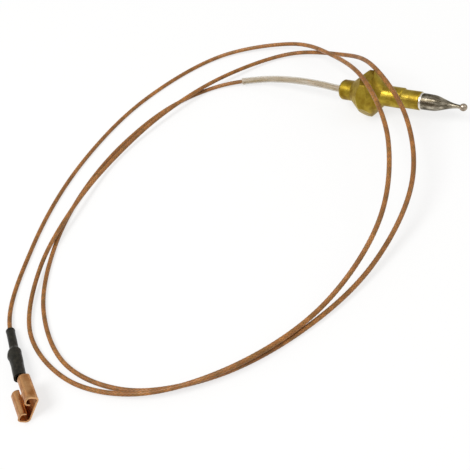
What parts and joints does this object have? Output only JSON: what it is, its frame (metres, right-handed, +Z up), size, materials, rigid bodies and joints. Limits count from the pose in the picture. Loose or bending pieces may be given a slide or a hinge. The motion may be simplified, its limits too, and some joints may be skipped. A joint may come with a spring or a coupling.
{
  "type": "thermocouple",
  "caption": "Hob flame-failure thermocouple: brass hexagon head with conical steel probe, braided lead in loose loops, black sleeve and push-on receptacle.",
  "frame": {"origin": "centre of the head's footprint, on the surface that it lies on", "axes": "+X along the head towards the probe's tip, +Z up, away from the surface; the lead leaves the neck along -X"},
  "size_m": [0.0981, 0.1252, 0.0125],
  "materials": {
    "brass": "turned, satin",
    "probe_steel": "drawn, heat-dulled",
    "braze": "bright braze",
    "bead": "fused bead",
    "alloy": "drawn wire",
    "ceramic": "woven glass fibre",
    "cement": "dry cement",
    "crimp_copper": "pressed copper",
    "jacket": "woven glass fibre",
    "sleeve": "translucent sleeve",
    "braid": "varnished fine braid",
    "core_copper": "drawn copper",
    "shrink": "satin, shrunk",
    "terminal_strip": "pressed strip"
  },
  "bodies": {
    "root": {"head_body": "brass", "probe_sheath": "probe_steel", "braze_ring": "braze", "hot_junction": "bead", "alloy_wire": "alloy", "probe_liner": "ceramic", "probe_cement": "cement", "joint_crimp": "crimp_copper", "joint_jacket": "jacket", "exit_sleeve": "sleeve", "lead_braid": "braid", "lead_core": "core_copper", "shrink_sleeve": "shrink", "spade_terminal": "terminal_strip"}
  },
  "joints": []
}
